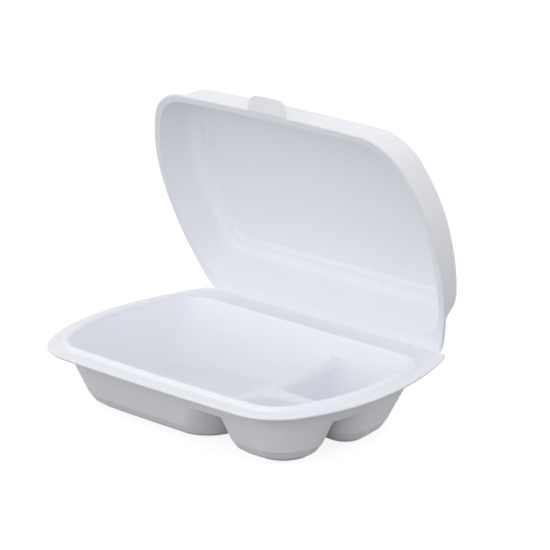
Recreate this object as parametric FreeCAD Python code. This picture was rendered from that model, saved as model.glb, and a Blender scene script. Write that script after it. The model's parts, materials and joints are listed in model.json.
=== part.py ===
"""Hinged foam meal box with three compartments, moulded from one sheet.

The tray stands on the floor and the lid is joined to its back flange along a straight
pressed crease. Both share one plan outline: bowed sides, a nearly straight front and
round front corners. The frame has +X to the right, +Y from the front to the crease and
+Z up. Its origin is the middle of the tray's footprint, at floor level.

Hollows and flanges are lofts through plan outlines at successive heights. The inside and
the outside of the sheet are the same loft, drawn once as it is and once a wall larger.
"""
import FreeCAD
import Part
import math
import os

from FreeCAD import Vector

# Plan outline of the tray's flange, seen from above.
WIDTH = 240.0              # across the bowed sides
DEPTH = 155.0              # from the crease to the front edge
WIDEST = 80.0              # distance of the widest place from the crease
CREASE_NARROWING = 18.0    # how far each side has come in at the crease
FRONT_NARROWING = 27.0     # how far each side would have come in at the front
FRONT_BOW = 3.0            # how far the front edge swells in its middle
FRONT_CORNER = 38.0        # plan radius of the flange's front corners
CREASE_CORNER = 8.0        # plan radius of the flange beside the crease
CREASE_EXTRA = 3.0         # how much wider the flanges are along the crease

# Foam sheet.
WALL = 2.2                 # thickness of walls, floor and top panel
FLANGE = 2.2               # thickness of the flanges
EDGE_SOFT = 0.7            # softened outer edges of the flanges
CREASE_WEB = 0.8           # thickness the flanges are pressed to at the crease
CREASE_PRESS = 4.0         # width of the pressed strip on each side of the crease
CREASE_GAP = 0.3           # between the two flanges when shut
TRIM = 2.0                 # how far the flanges are drawn past the crease before trimming

# Bead round the tray's hollow, which the shut lid fits over.
BEAD_CLEARANCE = 0.8       # between the shut lid's opening and the bead
BEAD_WIDTH = 3.6
BEAD_HEIGHT = 2.6
BEAD_SOFT = 1.0
BEAD_START = 26.0          # the bead dies out this far from the crease
BEAD_RAMP = 45.0           # slope of the bead's ends, degrees

# Tray. Drafts are wall angles from the vertical, in degrees.
TRAY_HEIGHT = 40.0         # floor to flange
TRAY_DRAFT = 20.0
BACK_CORNER = 18.0         # plan radius of the hollow's back corners, at the flange
BACK_CORNER_LOW = 30.0     # and at the floor
FRONT_CORNER_LOW = 24.0    # plan radius of the hollow's front corners, at the floor
FLOOR_ROUND = 12.0
DIVIDER_DROP = 12.0        # divider tops below the flange
DIVIDER_WIDTH = 8.0        # at its top, before rounding
DIVIDER_ROUND = 3.0
DIVIDER_DRAFT = 9.0
DIVIDER_CORNER = 11.0      # plan radius of corners beside a divider, at its top
MAIN_CORNER_LOW = 24.0     # and at the floor, in the main compartment
SIDE_CORNER_LOW = 13.0     # and at the floor, in the two side compartments
LONG_DIVIDER_X = 35.0      # middle of the divider that runs from front to back
CROSS_DIVIDER = 67.0       # middle of the cross divider, from the front edge

# Lid.
LID_INSET = 4.0            # how far the lid's edge stays inside the tray's
LID_FLANGE = 5.0
LID_DEPTH = 24.0           # flange to shoulder, inside
LID_DRAFT = 13.0
LID_BACK_CORNER = 17.0     # plan radius of the lid's back corners, at the flange
SHOULDER_ROUND = 6.0
PANEL_INSET = 2.0          # flat shoulder round the raised panel
PANEL_RISE = 2.4
LID_OPEN = 72.0            # degrees from shut, as it stands here

# Tongue on the lid's front edge.
TONGUE_WIDTH = 31.0
TONGUE_REACH = 9.5
TONGUE_CORNER = 7.0
TONGUE_BEND = 22.0         # degrees away from the tray
TONGUE_ROOT = 3.0          # how far it runs back into the flange

FLOOR_STEPS = 3            # bands round a floor or shoulder
TOP_STEPS = 2              # bands round the top of a divider
CORNER_SHARE = 0.4         # most of a narrow compartment's width that an inner corner takes
OUTER_SHARE = 0.58         # and an outer corner
LEAST_CORNER = 1.0         # plan radius that is left at a narrow compartment's floor

CREASE_Y = DEPTH / 2
AXIS_Z = TRAY_HEIGHT + CREASE_GAP / 2
LID_OPENING = LID_INSET + LID_FLANGE
BEAD_INSET = LID_OPENING + BEAD_CLEARANCE
TRAY_OPENING = BEAD_INSET + BEAD_WIDTH
DIVIDER_Z = TRAY_HEIGHT - DIVIDER_DROP
CROSS_Y = CROSS_DIVIDER - DEPTH


def run(height, draft):
    """How far a drafted wall moves sideways over a height."""
    return height * math.tan(math.radians(draft))


class Line:
    """A straight side of an outline, with its inward normal."""

    def __init__(self, point, inward):
        self.point = Vector(*point)
        self.inward = Vector(*inward)

    def moved(self, inset):
        return Line(self.point + self.inward * inset, self.inward)

    def nearest(self, p):
        return p - self.inward * (p - self.point).dot(self.inward)

    def edge(self, a, b):
        return Part.LineSegment(a, b).toShape()


class Arc:
    """A bowed side of an outline, the inside being the circle's inside."""

    def __init__(self, centre, radius):
        self.centre = Vector(*centre)
        self.radius = radius

    def moved(self, inset):
        return Arc(self.centre, self.radius - inset)

    def nearest(self, p):
        return self.centre + (p - self.centre).normalize() * self.radius

    def edge(self, a, b):
        middle = self.nearest((a + b) * 0.5)
        return Part.Arc(a, middle, b).toShape()


def meet(first, second, near):
    """Where two sides cross, at the crossing closest to a point."""
    if isinstance(first, Line) and isinstance(second, Line):
        along = Vector(-first.inward.y, first.inward.x, 0)
        reach = (second.point - first.point).dot(second.inward) / along.dot(second.inward)
        return first.point + along * reach
    if isinstance(second, Line):
        first, second = second, first
    if isinstance(first, Line):
        foot = first.nearest(second.centre)
        gap = (foot - second.centre).Length
        along = Vector(-first.inward.y, first.inward.x, 0)
        reach = second.radius
    else:
        between = second.centre - first.centre
        apart = between.Length
        along = Vector(-between.y, between.x, 0).normalize()
        gap = (apart ** 2 + first.radius ** 2 - second.radius ** 2) / (2 * apart)
        foot = first.centre + between.normalize() * gap
        reach = first.radius
    half = math.sqrt(max(reach ** 2 - gap ** 2, 0.0))
    choices = (foot + along * half, foot - along * half)
    return min(choices, key=lambda p: (p - near).Length)


def outline(sides, corners, guesses, z):
    """A closed plan outline: sides in order, each joined to the next by a round corner.

    A corner of radius 0 is a place where two sides already run into each other.
    """
    count = len(sides)
    starts = [None] * count
    ends = [None] * count
    centres = []
    for i, radius in enumerate(corners):
        after = (i + 1) % count
        near = Vector(*guesses[i])
        centre = meet(sides[i].moved(radius), sides[after].moved(radius), near)
        centres.append(centre)
        ends[i] = sides[i].nearest(centre) if radius else centre
        starts[after] = sides[after].nearest(centre) if radius else centre
    edges = []
    for i, side in enumerate(sides):
        edges.append(side.edge(starts[i], ends[i]))
        if corners[i]:
            corner = Arc(tuple(centres[i]), corners[i])
            edges.append(corner.edge(ends[i], starts[(i + 1) % count]))
    wire = Part.Wire(edges)
    wire.translate(Vector(0, CREASE_Y, z))
    return wire


def loft(wires):
    return Part.makeLoft(wires, True, True)


def side_arcs():
    """Centre and radius of the right side's two arcs, towards the crease and the front."""
    half = WIDTH / 2
    near_r = (CREASE_NARROWING ** 2 + WIDEST ** 2) / (2 * CREASE_NARROWING)
    length = DEPTH - WIDEST
    far_r = (FRONT_NARROWING ** 2 + length ** 2) / (2 * FRONT_NARROWING)
    return (half - near_r, near_r), (half - far_r, far_r)


def boundary():
    """The flange outline's sides: crease, left side, front and right side."""
    (near_x, near_r), (far_x, far_r) = side_arcs()
    front_r = (FRONT_BOW ** 2 + (WIDTH / 2) ** 2) / (2 * FRONT_BOW)
    return {
        "back": Line((0, 0, 0), (0, -1, 0)),
        "left_near": Arc((-near_x, -WIDEST, 0), near_r),
        "left_far": Arc((-far_x, -WIDEST, 0), far_r),
        "front": Arc((0, front_r - DEPTH, 0), front_r),
        "right_far": Arc((far_x, -WIDEST, 0), far_r),
        "right_near": Arc((near_x, -WIDEST, 0), near_r),
    }


HALF = WIDTH / 2
WAIST_LEFT = (-HALF, -WIDEST, 0)
WAIST_RIGHT = (HALF, -WIDEST, 0)


def whole(inset, back, back_corner, front_corner, z):
    """The whole plan outline moved in by an inset, and by its own amount at the crease."""
    sides = boundary()
    order = ["back", "left_near", "left_far", "front", "right_far", "right_near"]
    moved = [sides[n].moved(back if n == "back" else inset) for n in order]
    corners = [back_corner, 0, front_corner, front_corner, 0, back_corner]
    waist = HALF - inset
    guesses = [(-HALF, 0, 0), (-waist, -WIDEST, 0), (-HALF, -DEPTH, 0),
               (HALF, -DEPTH, 0), (waist, -WIDEST, 0), (HALF, 0, 0)]
    return outline(moved, corners, guesses, z)


def compartment(name, wall, divider, back_corner, front_corner, corner, z):
    """One compartment's outline: outer walls moved in by one inset, dividers by another."""
    sides = {n: s.moved(wall) for n, s in boundary().items()}
    sides["back"] = sides["back"].moved(CREASE_EXTRA)
    half = DIVIDER_WIDTH / 2
    left = Line((LONG_DIVIDER_X - half, 0, 0), (-1, 0, 0)).moved(divider)
    right = Line((LONG_DIVIDER_X + half, 0, 0), (1, 0, 0)).moved(divider)
    behind = Line((0, CROSS_Y + half, 0), (0, 1, 0)).moved(divider)
    before = Line((0, CROSS_Y - half, 0), (0, -1, 0)).moved(divider)
    waist = (wall - HALF, -WIDEST, 0)
    mid_x = LONG_DIVIDER_X
    if name == "main":
        order = [sides["back"], sides["left_near"], sides["left_far"], sides["front"], left]
        corners = [back_corner, 0, front_corner, corner, corner]
        guesses = [(-HALF, 0, 0), waist, (-HALF, -DEPTH, 0), (mid_x, -DEPTH, 0), (mid_x, 0, 0)]
    elif name == "back":
        order = [sides["back"], right, behind, sides["right_near"]]
        corners = [corner, corner, corner, back_corner]
        guesses = [(mid_x, 0, 0), (mid_x, CROSS_Y, 0), (HALF, CROSS_Y, 0),
                   (HALF, 0, 0)]
    else:
        order = [before, right, sides["front"], sides["right_far"]]
        corners = [corner, corner, front_corner, corner]
        guesses = [(mid_x, CROSS_Y, 0), (mid_x, -DEPTH, 0), (HALF, -DEPTH, 0),
                   (HALF, CROSS_Y, 0)]
    return outline(order, corners, guesses, z)


def foot_round(radius, draft):
    """(inset, height) steps of a round between a floor and a drafted wall, floor first.

    Insets are counted from where the wall's line meets the floor.
    """
    lean = math.radians(draft)
    centre = radius * (1 - math.sin(lean)) / math.cos(lean)
    steps = []
    for i in range(FLOOR_STEPS + 1):
        angle = math.pi / 2 + (lean - math.pi / 2) * i / FLOOR_STEPS
        steps.append((centre - radius * math.cos(angle), radius * (1 - math.sin(angle))))
    return steps


def top_round(radius, draft):
    """(inset, depth) steps of a round between a drafted wall and a flat top, wall first."""
    if not radius:
        return [(0.0, 0.0)]
    lean = math.radians(draft)
    centre = -radius * (1 - math.sin(lean)) / math.cos(lean)
    steps = []
    for i in range(TOP_STEPS + 1):
        angle = lean + (math.pi / 2 - lean) * i / TOP_STEPS
        steps.append((centre + radius * math.cos(angle), radius * (1 - math.sin(angle))))
    return steps


def tray_wall(z, skin):
    """Inset and corner radii of the tray's wall at a height."""
    share = (TRAY_HEIGHT - z) / TRAY_HEIGHT
    inset = TRAY_OPENING + run(TRAY_HEIGHT - z, TRAY_DRAFT)
    inset -= skin / math.cos(math.radians(TRAY_DRAFT))
    back = BACK_CORNER + (BACK_CORNER_LOW - BACK_CORNER) * share + skin
    front_top = FRONT_CORNER - TRAY_OPENING
    front = front_top + (FRONT_CORNER_LOW - front_top) * share + skin
    return inset, back, front


def cup_corners(name, wall, divider, z, skin):
    """A compartment's back, front and inner plan radii at a height.

    In the front compartment they are kept within its width.
    """
    back, front = tray_wall(z, skin)[1:]
    low = MAIN_CORNER_LOW if name == "main" else SIDE_CORNER_LOW
    share = (DIVIDER_Z - z) / DIVIDER_Z
    inner = DIVIDER_CORNER + (low - DIVIDER_CORNER) * share + skin
    if name == "front":
        span = CROSS_DIVIDER - DIVIDER_WIDTH / 2 - wall - divider
        front = min(front, span * OUTER_SHARE)
        inner = min(inner, span * CORNER_SHARE)
    return back, front, inner


def cup(name, skin):
    """A compartment's hollow below the divider tops, as a solid grown by a skin."""
    floor_z = WALL - skin
    top_z = DIVIDER_Z - skin
    slant = skin / math.cos(math.radians(DIVIDER_DRAFT))
    wall_foot = tray_wall(floor_z, skin)[0]
    divider_foot = run(top_z - floor_z, DIVIDER_DRAFT) - slant
    corners = cup_corners(name, wall_foot, divider_foot, floor_z, skin)
    wall_steps = foot_round(FLOOR_ROUND + skin, TRAY_DRAFT)
    divider_steps = foot_round(FLOOR_ROUND + skin, DIVIDER_DRAFT)
    wires = []
    for (wall_in, rise), (divider_in, divider_rise) in zip(wall_steps, divider_steps):
        divider = divider_foot + divider_in - run(rise - divider_rise, DIVIDER_DRAFT)
        shrunk = [max(r - wall_in - run(rise, TRAY_DRAFT), LEAST_CORNER) for r in corners]
        wires.append(compartment(name, wall_foot + wall_in, divider, *shrunk, floor_z + rise))
    for divider_in, depth in top_round(DIVIDER_ROUND if skin == 0 else 0, DIVIDER_DRAFT):
        z = top_z - depth
        wall = tray_wall(z, skin)[0]
        divider = divider_in - slant
        wires.append(compartment(name, wall, divider, *cup_corners(name, wall, divider, z, skin), z))
    return loft(wires)


def tray_form(skin):
    """The tray's hollow as a solid, grown by a skin: 0 for its inside, a wall for its outside."""
    wires = []
    for z in (DIVIDER_Z - skin, TRAY_HEIGHT):
        inset, back, front = tray_wall(z, skin)
        wires.append(whole(inset, inset + CREASE_EXTRA, back, front, z))
    form = loft(wires)
    for name in ("main", "back", "front"):
        form = form.fuse(cup(name, skin))
    return form


def lid_form(skin):
    """The lid's hollow as a solid, face down at height 0, grown by a skin."""
    slant = skin / math.cos(math.radians(LID_DRAFT))
    shoulder_z = LID_DEPTH + skin
    foot = LID_OPENING + run(shoulder_z, LID_DRAFT) - slant
    front_corner = FRONT_CORNER - LID_OPENING

    def ring(inset, shrink, z):
        return whole(inset, inset + CREASE_EXTRA, LID_BACK_CORNER + skin - shrink,
                     front_corner + skin - shrink, z)

    wires = [ring(LID_OPENING - slant, 0.0, 0.0)]
    for inset, drop in foot_round(SHOULDER_ROUND + skin, LID_DRAFT)[::-1]:
        shrink = inset + run(drop, LID_DRAFT)
        wires.append(ring(foot + inset, shrink, shoulder_z - drop))
    form = loft(wires)
    panel = foot + inset + PANEL_INSET + slant
    shrink += PANEL_INSET + slant
    tip = shrink + PANEL_RISE
    raised = loft([ring(panel - skin, shrink - skin, shoulder_z - WALL / 2),
                   ring(panel - skin, shrink - skin, shoulder_z),
                   ring(panel + PANEL_RISE - skin, tip - skin, shoulder_z + PANEL_RISE)])
    return form.fuse(raised)


def flange(inset, crease_corner, low_z):
    """A flange slab with soft edges, still solid in its middle, drawn past the crease."""
    wires = []
    for soft, rise in ((EDGE_SOFT, 0.0), (0.0, EDGE_SOFT), (0.0, FLANGE - EDGE_SOFT),
                       (EDGE_SOFT, FLANGE)):
        wires.append(whole(inset + soft, soft - TRIM, crease_corner, FRONT_CORNER - inset - soft,
                           low_z + rise))
    return loft(wires)


def crossways(profile, width):
    """A bar along X with a profile given as (y, z) points."""
    points = [Vector(-width / 2, y, z) for y, z in profile]
    return Part.Face(Part.makePolygon(points + points[:1])).extrude(Vector(width, 0, 0))


def crease_cutter(face_z, away):
    """What the press takes from a flange at the crease, leaving a web at the flange's face.

    away is 1 where the flange lies above its face and -1 where it lies below.
    """
    end = CREASE_Y - CREASE_GAP / 2
    web_z = face_z + away * CREASE_WEB
    far_z = face_z + away * (FLANGE + 1)
    beyond = CREASE_Y + 2 * TRIM
    groove = crossways([(beyond, web_z), (end - CREASE_PRESS / 2, web_z),
                        (end - CREASE_PRESS, far_z), (beyond, far_z)], 2 * WIDTH)
    rest = Part.makeBox(2 * WIDTH, 2 * TRIM, 4 * FLANGE, Vector(-WIDTH, end, face_z - 2 * FLANGE))
    return groove.fuse(rest)


def bead():
    """The raised ring that the shut lid fits over, dying out before the crease."""
    corner = BACK_CORNER + BEAD_WIDTH
    front = FRONT_CORNER - BEAD_INSET
    foot = TRAY_HEIGHT - FLANGE / 2
    shoulder = TRAY_HEIGHT + BEAD_HEIGHT - BEAD_SOFT
    top = TRAY_HEIGHT + BEAD_HEIGHT

    def ring(step, z):
        inset = BEAD_INSET + step
        return whole(inset, inset + CREASE_EXTRA, corner - step, front - step, z)

    outer = loft([ring(0, foot), ring(0, shoulder), ring(BEAD_SOFT, top)])
    inner_top = BEAD_WIDTH - BEAD_SOFT
    inner = loft([ring(BEAD_WIDTH, foot), ring(BEAD_WIDTH, shoulder), ring(inner_top, top)])
    start = CREASE_Y - BEAD_START
    rise = 2 * BEAD_HEIGHT
    cutter = crossways([(start, TRAY_HEIGHT), (start - run(rise, BEAD_RAMP), TRAY_HEIGHT + rise),
                        (CREASE_Y + DEPTH, TRAY_HEIGHT + rise),
                        (CREASE_Y + DEPTH, TRAY_HEIGHT - FLANGE), (start, TRAY_HEIGHT - FLANGE)],
                       2 * WIDTH)
    return outer.cut(inner).cut(cutter)


def tongue():
    """The bent tongue on the lid's front edge, with the lid face down at height 0."""
    edge = CREASE_Y - DEPTH + LID_INSET
    bend = math.radians(TONGUE_BEND)
    reach_y = TONGUE_REACH * math.cos(bend)
    reach_z = TONGUE_REACH * math.sin(bend)
    lean_y = FLANGE * math.sin(bend)
    lean_z = FLANGE * math.cos(bend)
    knee = FLANGE * math.tan(bend / 2)
    side = crossways([(edge + TONGUE_ROOT, 0), (edge, 0), (edge - reach_y, reach_z),
                      (edge - reach_y + lean_y, reach_z + lean_z), (edge + knee, FLANGE),
                      (edge + TONGUE_ROOT, FLANGE)], TONGUE_WIDTH)
    ends = [e for e in side.Edges
            if e.BoundBox.YMax < edge - reach_y + lean_y + 1e-4 and e.BoundBox.XLength < 1e-6]
    return side.makeFillet(TONGUE_CORNER, ends)


def tray():
    form = tray_form(WALL).fuse(flange(0.0, CREASE_CORNER, TRAY_HEIGHT - FLANGE))
    form = form.cut(crease_cutter(TRAY_HEIGHT, -1)).fuse(bead())
    return form.cut(tray_form(0.0))


def lid():
    form = lid_form(WALL).fuse(flange(LID_INSET, CREASE_CORNER, 0.0))
    form = form.cut(crease_cutter(0.0, 1)).fuse(tongue())
    form = form.cut(lid_form(0.0))
    form.translate(Vector(0, 0, TRAY_HEIGHT + CREASE_GAP))
    form.rotate(Vector(0, CREASE_Y, AXIS_Z), Vector(1, 0, 0), -LID_OPEN)
    return form


def main():
    os.makedirs("parts", exist_ok=True)
    for name, make in (("tray", tray), ("lid", lid)):
        shape = make()
        solid = shape.Solids[0]
        print(name, len(shape.Solids), shape.isValid(), round(solid.Volume, 1))
        solid.exportStep("parts/%s.step" % name)


main()
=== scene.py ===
"""Dresses the hinged foam meal box and sets up the studio and the camera."""

import json
import math

import bpy
import numpy as np
from mathutils import Matrix, Vector


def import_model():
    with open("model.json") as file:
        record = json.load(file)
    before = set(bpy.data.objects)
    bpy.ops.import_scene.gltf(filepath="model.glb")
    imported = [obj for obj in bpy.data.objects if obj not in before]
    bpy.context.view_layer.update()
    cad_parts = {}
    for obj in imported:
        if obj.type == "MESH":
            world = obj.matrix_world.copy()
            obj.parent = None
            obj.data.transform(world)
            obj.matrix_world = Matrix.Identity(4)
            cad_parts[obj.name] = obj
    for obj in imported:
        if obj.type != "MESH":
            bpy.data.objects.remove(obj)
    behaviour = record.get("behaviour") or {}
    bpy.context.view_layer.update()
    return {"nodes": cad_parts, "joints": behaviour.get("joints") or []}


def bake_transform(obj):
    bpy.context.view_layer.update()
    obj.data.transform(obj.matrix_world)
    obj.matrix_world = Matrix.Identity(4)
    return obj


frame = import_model()

# Crease web, in metres.
CREASE_GAP = 0.0003        # between the two flanges when shut
WEB_THICKNESS = 0.0008
WEB_SINK = 0.00004         # how far its skins lie under those of the flanges
WEB_TUCK = 0.0006          # how far it runs into each flange
WEB_STEPS = 8              # round the fold
WEB_END = 0.0015           # how far its ends stay inside the shorter flange
CREASE_REACH = 0.0002      # points this close to a flange's crease edge lie on it

# Foam: colour, sheen, and the relief of its beads and of the pressed sheet, in metres.
FOAM = (0.86, 0.872, 0.918, 1.0)
FOAM_ROUGHNESS = 0.62
FOAM_SHEEN = 0.35
BEADS_PER_METRE = 900.0
BEAD_RELIEF = 0.0002
BEAD_STRENGTH = 0.12
SWELLS_PER_METRE = 45.0
SWELL_DETAIL = 3.0
SWELL_RELIEF = 0.001
SWELL_STRENGTH = 0.15

# Studio. The floor looks white and throws back less light than it shows.
WHITE = (1.0, 1.0, 1.0, 1.0)
FLOOR_SIZE = 12.0
FLOOR_DROP = 0.0002        # below the box's foot
FLOOR_GREY = (0.2, 0.2, 0.2, 1.0)
FLOOR_SHADE = (0.25, 0.25, 0.25, 1.0)
FLOOR_GLOW = 0.86
HORIZON_LIGHT = 1.3
OVERHEAD_LIGHT = 0.8
LAMP_PLACE = Vector((0.0, -2.1, 0.5))
LAMP_AIM = Vector((0.0, 0.0, 0.06))
LAMP_SIZE = 1.0
LAMP_WATTS = 5.0

# Camera, as fitted to the outline of the box in the picture, in degrees and metres.
AZIMUTH = 44.2
ELEVATION = 18.2
ROLL = -1.42
DISTANCE = 1.899
LENS_PER_DISTANCE = 107.8  # lens length in mm for each metre of distance
SENSOR = 36.0
AIM = Vector((0.0, -0.0205, 0.0392))
ASIDE = 0.0376             # the camera's own shift to its right
ABOVE = 0.0523             # and upwards


def relief(tree, height, strength, distance):
    """A bump that follows a texture's output."""
    bump = tree.nodes.new("ShaderNodeBump")
    bump.inputs["Strength"].default_value = strength
    bump.inputs["Distance"].default_value = distance
    tree.links.new(height, bump.inputs["Height"])
    return bump


def foam_material():
    """White expanded foam sheet: matt, with a fine grain of beads under a pressed skin."""
    mat = bpy.data.materials.new("foam")
    mat.use_nodes = True
    tree = mat.node_tree
    shader = tree.nodes["Principled BSDF"]
    shader.inputs["Base Color"].default_value = FOAM
    shader.inputs["Roughness"].default_value = FOAM_ROUGHNESS
    shader.inputs["Specular IOR Level"].default_value = FOAM_SHEEN
    place = tree.nodes.new("ShaderNodeTexCoord")
    beads = tree.nodes.new("ShaderNodeTexVoronoi")
    beads.inputs["Scale"].default_value = BEADS_PER_METRE
    waves = tree.nodes.new("ShaderNodeTexNoise")
    waves.inputs["Scale"].default_value = SWELLS_PER_METRE
    waves.inputs["Detail"].default_value = SWELL_DETAIL
    tree.links.new(place.outputs["Object"], beads.inputs["Vector"])
    tree.links.new(place.outputs["Object"], waves.inputs["Vector"])
    swell = relief(tree, waves.outputs["Fac"], SWELL_STRENGTH, SWELL_RELIEF)
    grain = relief(tree, beads.outputs["Distance"], BEAD_STRENGTH, BEAD_RELIEF)
    tree.links.new(swell.outputs["Normal"], grain.inputs["Normal"])
    tree.links.new(grain.outputs["Normal"], shader.inputs["Normal"])
    return mat


def dress(node, mat):
    """Gives a node of the frame its material."""
    node.data.materials.clear()
    node.data.materials.append(mat)


def shorter_crease(pivot, shut):
    """Half the length of the shorter of the two flanges' edges at the crease."""
    halves = []
    for name in ("tray", "lid"):
        points = np.array([v.co for v in frame["nodes"][name].data.vertices])
        if name == "lid":
            points = (points - np.array(pivot)) @ np.array(shut) + np.array(pivot)
        depths = np.abs(points[:, 1] - (pivot.y - CREASE_GAP / 2))
        halves.append(float(points[depths < CREASE_REACH][:, 0].max()))
    return min(halves)


def fold_section(pivot, turn, sink):
    """Points round the fold at a depth under the flanges' faces, from tray to lid."""
    end = CREASE_GAP / 2
    depth = sink + end
    start = Vector((0.0, -end, -depth))
    stop = turn @ Vector((0.0, -end, depth))
    start_angle = math.atan2(start.z, start.y)
    stop_angle = math.atan2(stop.z, stop.y)
    if stop_angle < start_angle:
        stop_angle += 2 * math.pi
    line = [Vector((0.0, -end - WEB_TUCK, -depth))]
    for i in range(WEB_STEPS + 1):
        angle = start_angle + (stop_angle - start_angle) * i / WEB_STEPS
        line.append(start.length * Vector((0.0, math.cos(angle), math.sin(angle))))
    line.append(turn @ Vector((0.0, -end - WEB_TUCK, depth)))
    return [p + pivot for p in line]


def crease_web(mat):
    """The thin strip that joins the two flanges round the fold."""
    joint = frame["joints"][0]
    pivot = Vector(joint["pos_m"])
    turn = Matrix.Rotation(math.radians(joint["range_deg"][0]), 3, "X")
    half = shorter_crease(pivot, turn) - WEB_END
    inner = fold_section(pivot, turn, WEB_SINK)
    outer = fold_section(pivot, turn, WEB_THICKNESS - WEB_SINK)
    loop = inner + outer[::-1]
    verts = [(x, p.y, p.z) for x in (-half, half) for p in loop]
    count = len(loop)
    faces = [(i, (i + 1) % count, count + (i + 1) % count, count + i) for i in range(count)]
    faces += [tuple(range(count))[::-1], tuple(range(count, 2 * count))]
    mesh = bpy.data.meshes.new("crease_web")
    mesh.from_pydata(verts, [], faces)
    mesh.materials.append(mat)
    web = bpy.data.objects.new("crease_web", mesh)
    bpy.context.scene.collection.objects.link(web)
    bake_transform(web)


def only_camera(tree, seen, lit):
    """Mixes what the camera, mirrors and glass see with what lights the object."""
    rays = tree.nodes.new("ShaderNodeLightPath")
    camera_or_glossy = tree.nodes.new("ShaderNodeMath")
    camera_or_glossy.operation = "MAXIMUM"
    any_ray = tree.nodes.new("ShaderNodeMath")
    any_ray.operation = "MAXIMUM"
    mix = tree.nodes.new("ShaderNodeMixShader")
    tree.links.new(rays.outputs["Is Camera Ray"], camera_or_glossy.inputs[0])
    tree.links.new(rays.outputs["Is Glossy Ray"], camera_or_glossy.inputs[1])
    tree.links.new(camera_or_glossy.outputs[0], any_ray.inputs[0])
    tree.links.new(rays.outputs["Is Transmission Ray"], any_ray.inputs[1])
    tree.links.new(any_ray.outputs[0], mix.inputs["Fac"])
    tree.links.new(lit, mix.inputs[1])
    tree.links.new(seen, mix.inputs[2])
    return mix.outputs[0]


def floor():
    """A floor that looks white and keeps a faint shadow."""
    bpy.ops.mesh.primitive_plane_add(size=FLOOR_SIZE, location=(0.0, 0.0, -FLOOR_DROP))
    plane = bpy.context.object
    plane.name = "floor"
    mat = bpy.data.materials.new("floor")
    mat.use_nodes = True
    tree = mat.node_tree
    tree.nodes.clear()
    out = tree.nodes.new("ShaderNodeOutputMaterial")
    grey = tree.nodes.new("ShaderNodeBsdfDiffuse")
    grey.inputs["Color"].default_value = FLOOR_GREY
    pale = tree.nodes.new("ShaderNodeBsdfDiffuse")
    pale.inputs["Color"].default_value = FLOOR_SHADE
    glow = tree.nodes.new("ShaderNodeEmission")
    glow.inputs["Color"].default_value = WHITE
    glow.inputs["Strength"].default_value = FLOOR_GLOW
    both = tree.nodes.new("ShaderNodeAddShader")
    tree.links.new(pale.outputs[0], both.inputs[0])
    tree.links.new(glow.outputs[0], both.inputs[1])
    tree.links.new(only_camera(tree, both.outputs[0], grey.outputs[0]), out.inputs["Surface"])
    plane.data.materials.append(mat)


def world():
    """Even light, stronger near the horizon, with white where the camera sees past the floor."""
    sky = bpy.data.worlds.new("studio")
    sky.use_nodes = True
    tree = sky.node_tree
    tree.nodes.clear()
    out = tree.nodes.new("ShaderNodeOutputWorld")
    seen = tree.nodes.new("ShaderNodeBackground")
    seen.inputs["Color"].default_value = WHITE
    lit = tree.nodes.new("ShaderNodeBackground")
    lit.inputs["Color"].default_value = WHITE
    place = tree.nodes.new("ShaderNodeTexCoord")
    split = tree.nodes.new("ShaderNodeSeparateXYZ")
    fade = tree.nodes.new("ShaderNodeMapRange")
    fade.inputs["To Min"].default_value = HORIZON_LIGHT
    fade.inputs["To Max"].default_value = OVERHEAD_LIGHT
    tree.links.new(place.outputs["Generated"], split.inputs[0])
    tree.links.new(split.outputs["Z"], fade.inputs["Value"])
    tree.links.new(fade.outputs["Result"], lit.inputs["Strength"])
    tree.links.new(only_camera(tree, seen.outputs[0], lit.outputs[0]), out.inputs["Surface"])
    bpy.context.scene.world = sky


def front_lamp():
    """A weak, low area lamp in front of the box."""
    light = bpy.data.lights.new("front", "AREA")
    light.size = LAMP_SIZE
    light.energy = LAMP_WATTS
    obj = bpy.data.objects.new("front", light)
    obj.location = LAMP_PLACE
    obj.rotation_mode = "QUATERNION"
    obj.rotation_quaternion = (LAMP_AIM - LAMP_PLACE).to_track_quat("-Z", "Y")
    bpy.context.scene.collection.objects.link(obj)


def camera():
    """The picture's viewpoint: three-quarter from the front right, a little above."""
    azimuth, elevation, roll = (math.radians(v) for v in (AZIMUTH, ELEVATION, ROLL))
    back = Vector((math.sin(azimuth) * math.cos(elevation),
                   -math.cos(azimuth) * math.cos(elevation), math.sin(elevation)))
    level = Vector((math.cos(azimuth), math.sin(azimuth), 0.0))
    upright = back.cross(level)
    right = level * math.cos(roll) + upright * math.sin(roll)
    up = upright * math.cos(roll) - level * math.sin(roll)
    data = bpy.data.cameras.new("camera")
    data.sensor_width = SENSOR
    data.lens = LENS_PER_DISTANCE * DISTANCE
    obj = bpy.data.objects.new("camera", data)
    eye = AIM + back * DISTANCE + right * ASIDE + up * ABOVE
    obj.matrix_world = Matrix.Translation(eye) @ Matrix((right, up, back)).transposed().to_4x4()
    bpy.context.scene.collection.objects.link(obj)
    bpy.context.scene.camera = obj


foam = foam_material()
for part in frame["nodes"].values():
    dress(part, foam)
crease_web(foam)
floor()
world()
front_lamp()
camera()
bpy.context.scene.view_settings.view_transform = "Standard"
